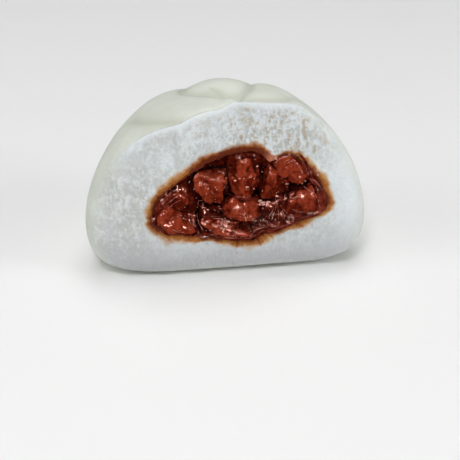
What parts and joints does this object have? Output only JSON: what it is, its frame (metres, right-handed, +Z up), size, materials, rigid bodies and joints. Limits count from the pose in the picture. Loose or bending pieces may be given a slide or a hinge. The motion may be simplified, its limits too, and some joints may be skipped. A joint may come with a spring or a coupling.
{
  "type": "char siu bao bun",
  "caption": "Steamed bun with a pleated domed top, torn open at the front to show glazed diced pork in sauce.",
  "frame": {"origin": "under the middle of the bounding box, on the level that the bun stands on", "axes": "+Z up, -Y out of the torn face, +X to the right along the torn face, which is the longest way across"},
  "size_m": [0.0998, 0.0666, 0.0657],
  "materials": {
    "steamed_dough": "satin white skin, matt crumb where it's torn",
    "char_siu_sauce": "wet, glossy",
    "glazed_pork": "glazed, glossy"
  },
  "bodies": {
    "root": {"bun_dough": "steamed_dough", "filling_sauce": "char_siu_sauce", "pork_01": "glazed_pork", "pork_02": "glazed_pork", "pork_03": "glazed_pork", "pork_04": "glazed_pork", "pork_05": "glazed_pork", "pork_06": "glazed_pork", "pork_07": "glazed_pork", "pork_08": "glazed_pork", "pork_09": "glazed_pork", "pork_10": "glazed_pork"}
  },
  "joints": []
}
